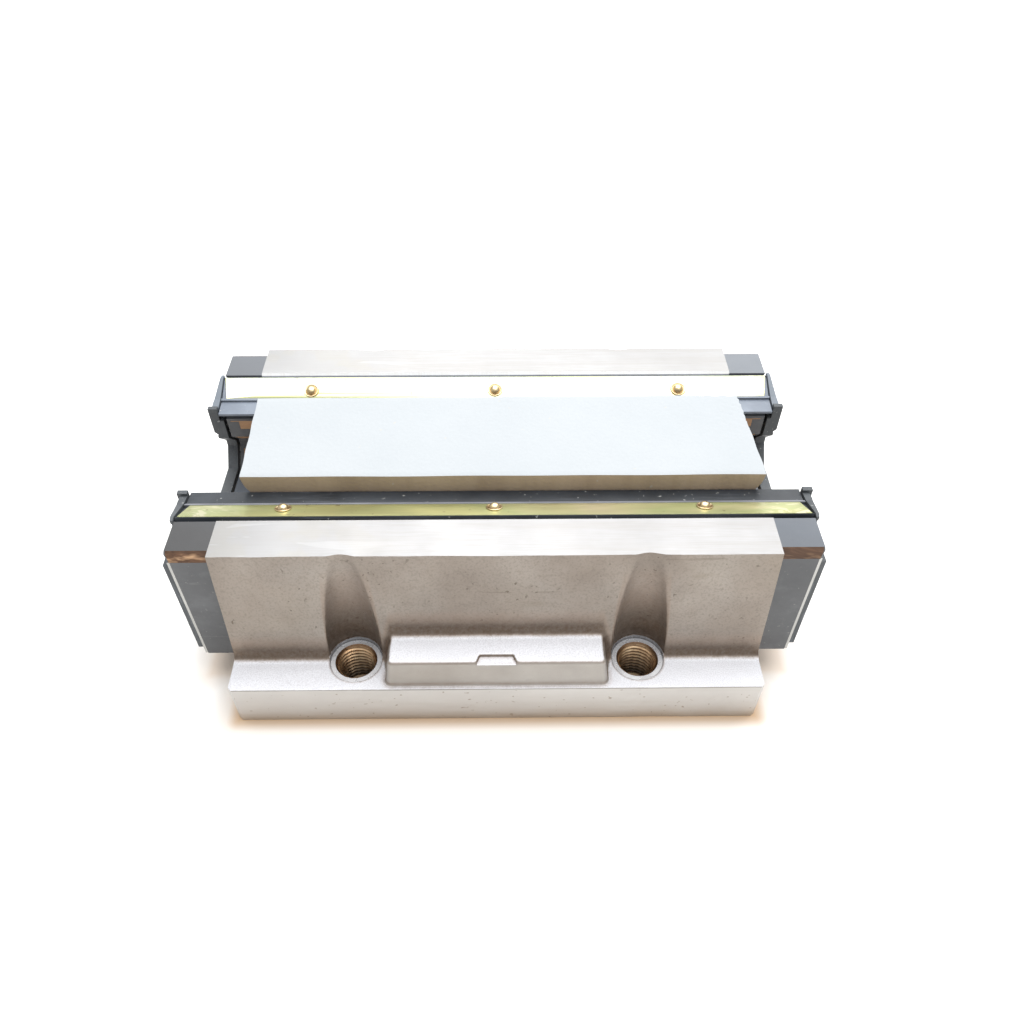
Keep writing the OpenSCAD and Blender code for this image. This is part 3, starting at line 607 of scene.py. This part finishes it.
def skin_distance(x, y, z):
    """Distance to the forged skin of the far half, before machining. Negative inside."""
    slope = LEG_DRAFT / (LEG_H - FLANGE_T)
    leg = (y - LEG_TOP_Y - (LEG_H - z) * slope) / math.hypot(1, slope)
    flange = meet_round(y - BODY_Y, z - FLANGE_T, 0.5)
    body = join_round(leg, flange, ROOT_R)

    # The boss leans in towards its top. Its notch widens to the front, and its fillet grows towards the leg
    lean = BOSS_LEAN / (BOSS_Z - FLANGE_T)
    ends = (np.abs(x) - BOSS_X + (z - FLANGE_T) * lean) / math.hypot(1, lean)
    front = (y - BOSS_Y + (z - FLANGE_T) * 0.08)
    boss = meet_round(meet_round(ends, front, 2.2), z - BOSS_Z, 1.5)
    notch_half = NOTCH_X + (y - NOTCH_Y) * 0.38
    notch = meet_round(np.maximum(np.abs(x) - notch_half, NOTCH_Y - y), BOSS_Z - NOTCH_DEPTH - z, 0.4)
    boss = meet_round(boss, -notch, 0.45)
    body = join_round(body, boss, 1.0 + 2.2 * np.clip((77 - y) / 6, 0, 1))

    # The cutter's relief narrows towards the leg's top, where its edge is softer
    narrowing = 1.5 * np.clip((z - 34.0) / (LEG_H - 34.0), 0, 1)
    relief = np.hypot(np.abs(x) - HOLE_X, y - HOLE_Y) - RELIEF_R + narrowing
    relief = np.maximum(relief, FLANGE_T + 1.2 - z)
    soft = np.clip(0.3 + (z - 30) * 0.015, 0.3, 0.85)
    body = meet_round(body, -relief, soft)
    return body + 0.10 * dents(x, y, z) + 0.028 * ripple(x, y, z)


def columns():
    """X places of the skin's rings: dense at the reliefs and the notch, and wide elsewhere."""
    fine = [np.arange(38.6, 44.6, 0.16), np.arange(44.6, 68.0, 0.34), np.arange(0, 9.6, 0.4)]
    coarse = [np.arange(9.6, 38.6, 0.8), np.arange(68.0, BODY_X + 1.4, 0.8)]
    half = np.unique(np.round(np.concatenate(fine + coarse), 3))
    return np.concatenate([-half[:0:-1], half])


def cast_skin(xs):
    """Points where rays along the profile's diagonal meet the far skin, over x and the profile."""
    across = np.arange(-61.4, 10.0, 0.42)
    x, t = np.meshgrid(xs, across, indexing="ij")
    depth = np.full_like(x, 125.0)
    diagonal = math.sqrt(0.5)
    for _ in range(70):
        y, z = (depth - t) * diagonal, (depth + t) * diagonal
        depth = depth - 0.85 * skin_distance(x, y, z)
    return np.stack([x, (depth - t) * diagonal, (depth + t) * diagonal], axis=-1)


def carriage_blank():
    """Both forged halves as one closed skin. The near half is the far half turned about Z."""
    xs = columns()
    far = cast_skin(xs)
    near = cast_skin(-xs)[:, ::-1] * np.array([-1, -1, 1])
    ring = np.concatenate([far, near], axis=1)
    faces = tube_faces(*ring.shape[:2])
    return new_object("carriage_forging", ring.reshape(-1, 3), faces)


def thread_profile():
    """Radius of the thread cutter over its height and turn: a 60 degree thread with flat crests."""
    zs = np.arange(-1.0, FLANGE_T + 0.2, 0.125)
    turn = np.arange(96) / 96
    z, a = np.meshgrid(zs, turn, indexing="ij")
    phase = (z / THREAD_PITCH - a) % 1.0
    flank = np.clip((np.abs(phase - 0.5) - 0.09) / 0.34, 0, 1)
    r = THREAD_MINOR + (THREAD_MAJOR - THREAD_MINOR) * flank
    lead_in = np.clip((z - (FLANGE_T - 2.0)) / 1.5, 0, 1)
    r = np.maximum(r, THREAD_MINOR + 1.25 * lead_in)
    lead_out = np.clip((1.0 - z) / 1.0, 0, 1)
    r = np.maximum(r, THREAD_MINOR + 1.0 * lead_out)
    return zs, turn, r


def hole_cutters():
    """One thread cutter and one spot face cutter for each hole."""
    zs, turn, r = thread_profile()
    angle = 2 * math.pi * turn
    made = []
    for sx in (-1, 1):
        for sy in (-1, 1):
            cx, cy = sx * HOLE_X, sy * HOLE_Y
            x, y = cx + r * np.cos(angle), cy + r * np.sin(angle)
            points = np.stack([x, y, np.broadcast_to(zs[:, None], x.shape)], axis=-1)
            made.append(new_object("thread_cut", points.reshape(-1, 3), tube_faces(len(zs), len(turn))))
            spot = [(SPOT_R, FLANGE_T - SPOT_DEPTH), (SPOT_R, FLANGE_T + SPOT_REACH)]
            made.append(turned_solid("spot_cut", spot, 96, (cx, cy)))
    return made


def carriage():
    """The blank, cut to the body's box with chamfered upright corners."""
    body = carriage_blank()
    c = 1.5
    corners = [(BODY_X - c, -BODY_Y), (BODY_X, c - BODY_Y), (BODY_X, BODY_Y - c), (BODY_X - c, BODY_Y),
               (c - BODY_X, BODY_Y), (-BODY_X, BODY_Y - c), (-BODY_X, c - BODY_Y), (c - BODY_X, -BODY_Y)]
    boolean(body, prism_z("envelope", 0.0, LEG_H, corners), "INTERSECT")
    return body


def ledge(y):
    """Height of the ledge under a strip seal."""
    return STRIP_Z - STRIP_T / math.cos(STRIP_TILT) - (STRIP_Y - y) * math.tan(STRIP_TILT)


def inner_cut():
    """The rail channel and the ledges for the strip seals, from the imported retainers' boxes."""
    floor_low, floor_high = box_mm("floor_retainer_far")
    centre_low, centre_high = box_mm("centre_retainer_far")
    in_y, floor_z = floor_high[1], floor_low[2]
    mouth_z = centre_low[2] + centre_high[2] - floor_z
    half = [(in_y, floor_z), (centre_high[1], centre_low[2]), centre_high[1:], (in_y, mouth_z),
            (in_y, ledge(in_y)), (LEDGE_Y, ledge(LEDGE_Y))]
    near, far = [half + [(LEDGE_Y, LEG_H - chamfer), (LEDGE_Y + chamfer + 5, LEG_H + 5)]
                 for chamfer in (NEAR_CHAMFER, FAR_CHAMFER)]
    outline = [(-y, z) for y, z in reversed(near)] + far
    return prism_x("channel_cut", -BODY_X - 5, BODY_X + 5, outline)


def smooth_body():
    """The body with its channel, holes and return bores cut."""
    body = carriage()
    for cutter in [inner_cut()] + hole_cutters():
        boolean(body, cutter, "DIFFERENCE")
    for side in (-1, 1):
        for level in ("upper", "lower"):
            low, high = box_mm(f"return_tube_{level}_far")
            y, z = side * (low[1] + high[1]) / 2, (low[2] + high[2]) / 2
            r = (high[1] - low[1]) / 2
            ring = [(y + r * math.cos(a), z + r * math.sin(a)) for a in np.arange(48) * 2 * math.pi / 48]
            boolean(body, prism_x("bore_cut", -BODY_X - 3, BODY_X + 3, ring), "DIFFERENCE")
    return body


def face_finishes(mesh):
    """Index of each face's finish, by where the face is and which way it points."""
    count = len(mesh.polygons)
    centre, normal = np.empty(count * 3), np.empty(count * 3)
    mesh.polygons.foreach_get("center", centre)
    mesh.polygons.foreach_get("normal", normal)
    centre, normal = centre.reshape(-1, 3) / MM, normal.reshape(-1, 3)
    x, y, z = np.abs(centre[:, 0]), np.abs(centre[:, 1]), centre[:, 2]
    up = normal[:, 2]
    hole = np.hypot(x - HOLE_X, y - HOLE_Y)
    spot_floor = np.abs(z - FLANGE_T + SPOT_DEPTH) < 0.02
    spot_wall = (np.abs(hole - SPOT_R) < 0.05) & (z > FLANGE_T - SPOT_DEPTH) & (z < FLANGE_T + SPOT_REACH)
    by_ledge = (y > LEDGE_Y - 0.1) & (y < LEDGE_Y + FAR_CHAMFER)
    corner = (x > BODY_X - 2) & (y > BODY_Y - 2)

    which = np.full(count, FORGED)
    which[(y > BODY_Y - 0.8) & (up < 0.5)] = FLANGE_FACE
    which[(y < LEDGE_Y + 0.3) & (z > FLANGE_T - 0.5)] = GROUND
    which[(z > LEG_H - 0.02) & (np.abs(up) > 0.9)] = TOP
    which[by_ledge & (z > LEG_H - 3.5) & (z < LEG_H - 0.05)] = LEDGE_WALL
    which[(x > BODY_X - 0.02)] = END
    which[corner & (np.abs(normal[:, 0]) > 0.5) & (np.abs(normal[:, 1]) > 0.5)] = FLANGE_FACE
    which[(z < 0.02)] = GROUND
    which[(hole < THREAD_MAJOR + 0.4) & (z < FLANGE_T - 0.2) & (z > 0.02)] = THREAD
    which[spot_floor & (up > 0.95) & (hole < SPOT_R + 5)] = TURNED
    which[spot_wall & (np.abs(up) < 0.3)] = TURNED
    return which.astype(np.int32)


def point_grime_and_shade(mesh):
    """Dirt and painted shade from 0 to 1 for each point: painted shade where the skin is enclosed, dirt and
    painted shade along the feet and reliefs, and dirt along the rims.
    """
    points = np.empty(len(mesh.vertices) * 3)
    mesh.vertices.foreach_get("co", points)
    points = points.reshape(-1, 3) / MM
    x, y, z = points[:, 0] * np.sign(points[:, 1] + 1e-9), np.abs(points[:, 1]), points[:, 2]
    step = 0.3
    base = skin_distance(x, y, z)
    grad = np.stack([skin_distance(x + step, y, z) - base, skin_distance(x, y + step, z) - base,
                     skin_distance(x, y, z + step) - base], axis=-1)
    grad /= np.linalg.norm(grad, axis=1)[:, None] + 1e-9
    up = grad[:, 2]
    hole = np.hypot(np.abs(x) - HOLE_X, y - HOLE_Y)

    # Painted shade in enclosed places: the way out along the normal stays close to the skin
    grime_and_shade = np.zeros(len(x))
    for reach, share in ((1.6, 0.55), (3.5, 0.45)):
        open_way = skin_distance(x + grad[:, 0] * reach, y + grad[:, 1] * reach, z + up * reach)
        grime_and_shade += share * np.clip(1.0 - open_way / reach, 0, 1)
    grime_and_shade = np.clip(grime_and_shade * 1.5 - 0.12, 0, 0.92)

    # Dirt and painted shade at the leg's foot, over the flange and over the boss
    on_leg = np.clip((73.2 - y) / 1.4, 0, 1) * np.clip((0.985 - up) / 0.27, 0, 1)
    foot = FLANGE_T + (BOSS_Z - FLANGE_T) * np.clip((BOSS_X + 2.0 - np.abs(x)) / 4.0, 0, 1)
    band = np.clip(1.0 - (z - foot - 3.0) / 10.0, 0, 1) ** 1.4
    grime_and_shade = np.maximum(grime_and_shade, 0.80 * on_leg * band)

    # The reliefs, darker towards the bottom
    pocket = np.clip((RELIEF_R + 0.9 - hole) / 0.6, 0, 1)
    pocket *= np.clip((0.8 - up) / 0.2, 0, 1)
    grime_and_shade = np.maximum(grime_and_shade, pocket * 0.80 * np.clip((66 - z) / 40, 0, 1))

    # The boss's front edge, and a thin ring outside each spot face
    boss_edge = np.hypot(y - BOSS_Y + 1.7, z - BOSS_Z + 0.6)
    boss_edge = np.where(np.abs(x) < BOSS_X - 1, np.clip(1.0 - boss_edge / 0.9, 0, 1), 0)
    grime_and_shade = np.maximum(grime_and_shade, 0.55 * boss_edge)
    ring_edge = np.clip(1.0 - np.abs(hole - SPOT_R - 0.15) / 0.45, 0, 1)
    return np.maximum(grime_and_shade, 0.75 * ring_edge * np.clip((up - 0.8) / 0.1, 0, 1))


def dress_body(body):
    """Gives the body its finishes, in the order of the slot numbers above, and its dirt and painted shade.
    """
    mesh = body.data
    kinds = [forged(),
             milled("milled_top", (0.303, 0.300, 0.297), (0.338, 0.336, 0.334), "Y", stains_and_painted_light=True),
             milled("milled_end", (0.62, 0.61, 0.58), (0.74, 0.73, 0.70), "Y", 1800),
             turned(),
             thread(),
             milled("ground_face", (0.60, 0.60, 0.59), (0.70, 0.70, 0.69), "X", 3200),
             front_face(),
             # Painted light: the ledge wall is paler and less metallic than the milled top, lifting the
             # shade in the groove beside the strip
             milled("ledge_wall_painted_light", (0.72, 0.72, 0.71), (0.80, 0.80, 0.79), "X", metallic=0.25)]
    mesh.materials.clear()
    for kind in kinds:
        mesh.materials.append(kind)
    mesh.polygons.foreach_set("material_index", face_finishes(mesh))
    grime_and_shade = mesh.attributes.new("grime_and_shade", "FLOAT", "POINT")
    grime_and_shade.data.foreach_set("value", point_grime_and_shade(mesh).astype(np.float32))
    shade(body, 38)
    flatten = body.modifiers.new("normals", "WEIGHTED_NORMAL")
    flatten.keep_sharp = True


body = smooth_body()
body.name = body.data.name = "carriage_forging"
dress_body(body)
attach(body, "carriage")
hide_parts("carriage_body")


# ---- rivets ----------------------------------------------------------------------------------

def strip_matrix(sign):
    """Frame of one strip: X along it, Y outwards along its slope, Z out of its face. Millimetres."""
    tilt = Matrix.Rotation(STRIP_TILT, 4, "X")
    place = Matrix.Translation((0, STRIP_Y, STRIP_Z)) @ tilt
    return Matrix.Scale(-1, 4, (0, 1, 0)) @ place if sign < 0 else place


def rivet_rings():
    """Half profile of a rivet as (radius, height, dirt): a dished flange with a rolled rim, and a dome."""
    rows = [(0.0, 0.02, 0.0), (2.6, 0.02, 0.2), (3.10, 0.05, 0.5), (3.20, 0.20, 0.6), (3.20, 0.34, 0.3),
            (3.10, 0.47, 0.1), (2.95, 0.50, 0.05), (2.78, 0.44, 0.25), (2.58, 0.32, 0.5), (2.38, 0.25, 0.7),
            (2.22, 0.25, 1.0), (2.12, 0.34, 0.9)]
    steps = 8
    for i in range(1, steps + 1):
        a = math.radians(i * 90 / steps)
        radius = RIVET_DOME_R * math.cos(a) if i < steps else 0.0
        rows.append((radius, RIVET_DOME_FOOT + RIVET_DOME_H * math.sin(a), 0.25 * (1 - i / steps)))
    return rows


def rivets(side):
    """The three rivets of one strip as one piece, each leaning a little its own way."""
    sign = SIDES[side]
    place = strip_matrix(sign)
    rows = rivet_rings()
    seg = 40
    points, faces, dirt = [], [], []
    for index in (-1, 0, 1):
        start = len(points)
        lean = rng.normal(0, 0.012, 2)
        for r, h, d in rows:
            for k in range(seg):
                a = 2 * math.pi * k / seg
                u, v = r * math.cos(a), r * math.sin(a)
                height = PLATE_V + max(0.0, h + (lean[0] * u + lean[1] * v) * min(1.0, h))
                points.append(place @ Vector((index * RIVET_PITCH + RIVET_SHIFT + u, v - RIVET_U, height)))
                dirt.append(d)
        for i in range(len(rows) - 1):
            for k in range(seg):
                n = (k + 1) % seg
                a, b = start + i * seg, start + (i + 1) * seg
                quad = [a + k, a + n, b + n, b + k]
                faces.append(quad if sign > 0 else quad[::-1])
    made = new_object(f"rivets_{side}", points, faces, [brass_mat])
    stored = made.data.attributes.new("dirt", "FLOAT", "POINT")
    stored.data.foreach_set("value", np.array(dirt, np.float32))
    weld(made, 0.002)
    shade(made, 50)
    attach(made, "carriage")
    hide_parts(f"strip_rivets_{side}")


def weld(target, distance_mm):
    modifier = target.modifiers.new("weld", "WELD")
    modifier.merge_threshold = distance_mm * MM
    apply_modifiers(target)


brass_mat = brass()
for side in SIDES:
    rivets(side)


# ---- foam insert -----------------------------------------------------------------------------

def foam_piece():
    """The foam insert: rough cut ends that hollow out below, and a far top edge that leans out."""
    low, high = box_mm("foam_insert")
    nx, ny, nz = 150, 36, 30
    skew, reach_out = 2.0, -0.95
    us, vs, ws = np.linspace(-1, 1, nx + 1), np.linspace(-1, 1, ny + 1), np.linspace(0, 1, nz + 1)
    us = np.sign(us) * (1 - (1 - np.abs(us)) ** 1.5)
    mid = (low + high) / 2
    half = (high - low) / 2

    def place(u, v, w):
        z = low[2] + (high[2] - low[2]) * w
        hollow = 1.9 * np.clip((1 - w) / 0.22, 0, 1) ** 1.6 + 6.0 * np.clip((0.85 - w) / 0.85, 0, 1) ** 0.8
        rough_cut = 0.12 * (1 + np.sin(v * 9 + u * 5))
        reach = half[0] + reach_out - np.abs(u) ** 8 * (hollow + rough_cut)
        x = mid[0] + u * reach - v * skew / 2 * np.abs(u)
        y = mid[1] + v * (half[1] - 0.05 - 0.10 * (1 + np.sin(x * 0.13 + w * 3)) * np.abs(v) ** 6)
        y = y + (2.0 + 0.45 * u) * np.clip(v, 0, 1) ** 4 * np.clip((z - 69.0) / 5.2, 0, 1) ** 1.5
        corner = np.clip(np.abs(v) - 0.965, 0, 1) / 0.035
        z = z - 0.22 * corner ** 2 * np.clip((w - 0.9) * 10, 0, 1)
        sag = 0.07 * (1 + np.sin(x * 0.071 + 1.3) * np.cos(y * 0.16))
        at_corner = np.exp(-((x - high[0] + 5) / 9) ** 2) * np.clip(v, 0, 1)
        nick = at_corner * 0.6 * (0.5 + 0.5 * np.sin(y * 1.7 + x * 0.9))
        torn = np.clip((w - 0.92) * 12, 0, 1) * nick
        return x - torn * 0.9 * np.sign(u), y, z - sag * w ** 4 - torn

    points, faces, index = [], [], {}

    def add(i, j, k):
        key = (i, j, k)
        if key not in index:
            index[key] = len(points)
            points.append(place(us[i], vs[j], ws[k]))
        return index[key]

    def sheet(fixed, at, first, second, order):
        for p in range(first):
            for q in range(second):
                ring = [(p, q), (p + 1, q), (p + 1, q + 1), (p, q + 1)]
                corners = []
                for a, b in ring:
                    cell = {"x": (at, a, b), "y": (a, at, b), "z": (a, b, at)}[fixed]
                    corners.append(add(*cell))
                faces.append(corners if order else corners[::-1])

    sheet("z", nz, nx, ny, True)
    sheet("z", 0, nx, ny, False)
    sheet("y", 0, nx, nz, True)
    sheet("y", ny, nx, nz, False)
    sheet("x", nx, ny, nz, True)
    sheet("x", 0, ny, nz, False)
    made = new_object("foam_block", points, faces, [foam()], smooth=48)
    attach(made, "foam_insert")
    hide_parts("foam_insert")


foam_piece()


# ---- finishes on the CAD nodes ---------------------------------------------------------------

NATURAL = (0.60, 0.52, 0.39), (0.70, 0.62, 0.48)
DARK = (0.045, 0.045, 0.050), (0.065, 0.065, 0.07)
GROUND_ROLLER = (0.62, 0.62, 0.64), (0.80, 0.80, 0.82), (0.08, 0.18)
BLACKENED = (0.05, 0.05, 0.055), (0.10, 0.10, 0.11), (0.28, 0.42)

# Start of a node's name: its material, and the width in millimetres that its edges are rounded to
finishes = {
    "end_cap": (plastic("cap_plastic", (0.066, 0.067, 0.070), (0.092, 0.094, 0.098), scuff=0.20,
                        painted_top_glare=True, Specular_IOR_Level=0.5), 0.30),
    "return_block": (copper_plastic(), 0.12),
    "turn_guides": (plastic("guide_plastic", *NATURAL, dust=0.1), 0.0),
    "return_tube": (plastic("liner_plastic", *NATURAL, dust=0.1), 0.0),
    "floor_retainer": (plastic("floor_plastic", *DARK), 0.25),
    "centre_retainer": (plastic("centre_plastic", *DARK), 0.25),
    "mouth_retainer": (plastic("mouth_plastic", (0.040, 0.042, 0.046), (0.06, 0.062, 0.066)), 0.25),
    "load_rollers": (bright_steel("roller_steel", *GROUND_ROLLER), 0.0),
    "return_rollers": (bright_steel("return_roller_steel", *GROUND_ROLLER), 0.0),
    "turn_rollers": (bright_steel("turn_roller_steel", *GROUND_ROLLER), 0.0),
    "support_plate": (bright_steel("plate_steel", (0.34, 0.336, 0.32), (0.43, 0.425, 0.405)), 0.0),
    "end_seal": (rubber("seal_rubber", (0.045, 0.050, 0.054), (0.075, 0.082, 0.088), "Z",
                        painted_far_glare=True), 0.30),
    "cap_screws": (bright_steel("screw_steel", *BLACKENED), 0.15),
    "lube_plug": (bright_steel("plug_steel", *BLACKENED), 0.15),
    "strip_seal_near": (rubber("near_strip_rubber", (0.014, 0.017, 0.021), (0.030, 0.035, 0.042), "X",
                               (0.34, 0.5), painted_bead_highlight=True), 0.16),
    # Painted glare: the far strip rubber is much paler than the near one, standing in for the light it
    # reflects
    "strip_seal_far": (rubber("far_strip_rubber_painted_glare", (0.124, 0.144, 0.176), (0.196, 0.224, 0.268), "X",
                              (0.30, 0.42)), 0.16),
    "strip_plate": (chromate(), 0.10),
}


def soften(target, width_mm):
    """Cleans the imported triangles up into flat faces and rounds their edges."""
    join = target.modifiers.new("join", "WELD")
    join.merge_threshold = 0.002 * MM
    flat = target.modifiers.new("flat", "DECIMATE")
    flat.decimate_type = "DISSOLVE"
    flat.angle_limit = math.radians(0.5)
    edge = target.modifiers.new("edge", "BEVEL")
    edge.width = width_mm * MM
    edge.segments = 2
    edge.limit_method = "ANGLE"
    edge.angle_limit = math.radians(40)
    edge.harden_normals = True
    edge.use_clamp_overlap = True


for name, cad in nodes.items():
    for start, (material, edge_mm) in finishes.items():
        if name.startswith(start):
            cad.data.materials.clear()
            cad.data.materials.append(material)
            if edge_mm:
                soften(cad, edge_mm)

# The replaced nodes keep the same finish as the pieces that stand for them
replaced = {"carriage_body": body.data.materials[FORGED], "foam_insert": bpy.data.materials["foam"],
            "strip_rivets_near": brass_mat, "strip_rivets_far": brass_mat}
for name, material in replaced.items():
    nodes[name].data.materials.clear()
    nodes[name].data.materials.append(material)


# ---- floor, light and camera -----------------------------------------------------------------

FLOOR_HALF = 4000
floor_corners = [(sx * FLOOR_HALF, sy * FLOOR_HALF, 0) for sx, sy in ((-1, -1), (1, -1), (1, 1), (-1, 1))]
floor = new_object("floor", floor_corners, [(0, 1, 2, 3)], [paper_floor()])

world = bpy.data.worlds.new("studio")
world.use_nodes = True
scene.world = world
sky = world.node_tree.nodes["Background"]
sky.inputs["Color"].default_value = (0.93, 0.96, 1.0, 1.0)
sky.inputs["Strength"].default_value = 0.75


def softbox(name, at, aim, size, power):
    """A rectangular area light that points from one place at another. Metres and watts."""
    data = bpy.data.lights.new(name, "AREA")
    data.shape = "RECTANGLE"
    data.size, data.size_y = size
    data.energy = power
    made = bpy.data.objects.new(name, data)
    made.location = at
    made.rotation_euler = (Vector(aim) - Vector(at)).to_track_quat("-Z", "Y").to_euler()
    scene.collection.objects.link(made)


softbox("overhead", (0.1, 0.25, 1.3), (0, 0, 0), (1.6, 1.3), 30.0)
softbox("back", (0.35, 1.3, 1.15), (0, 0, 0.05), (1.8, 0.9), 14.0)

# The camera stands at the photograph's viewing angle. Its shift keeps the frame where the photograph's is
CAMERA_AT = Vector((0.003263, -0.267573, 0.298537))
YAW, PITCH, ROLL = math.radians(0.7265), math.radians(-47.5132), math.radians(0.1738)
SENSOR_MM, LENS_MM, SHIFT_Y = 36.0, 30.32676, 0.036615

ahead = Vector((math.sin(YAW) * math.cos(PITCH), math.cos(YAW) * math.cos(PITCH), math.sin(PITCH)))
right = Vector((math.cos(YAW), -math.sin(YAW), 0))
above = right.cross(ahead)
right, above = (math.cos(ROLL) * right + math.sin(ROLL) * above,
                math.cos(ROLL) * above - math.sin(ROLL) * right)
lens = bpy.data.cameras.new("camera")
lens.sensor_width = SENSOR_MM
lens.lens = LENS_MM
lens.shift_y = SHIFT_Y
lens.clip_start = 0.01
camera = bpy.data.objects.new("camera", lens)
turn = Matrix((right, above, -ahead)).transposed()
camera.matrix_world = Matrix.Translation(CAMERA_AT) @ turn.to_4x4()
scene.collection.objects.link(camera)
scene.camera = camera
scene.view_settings.view_transform = "Standard"

bpy.context.view_layer.update()
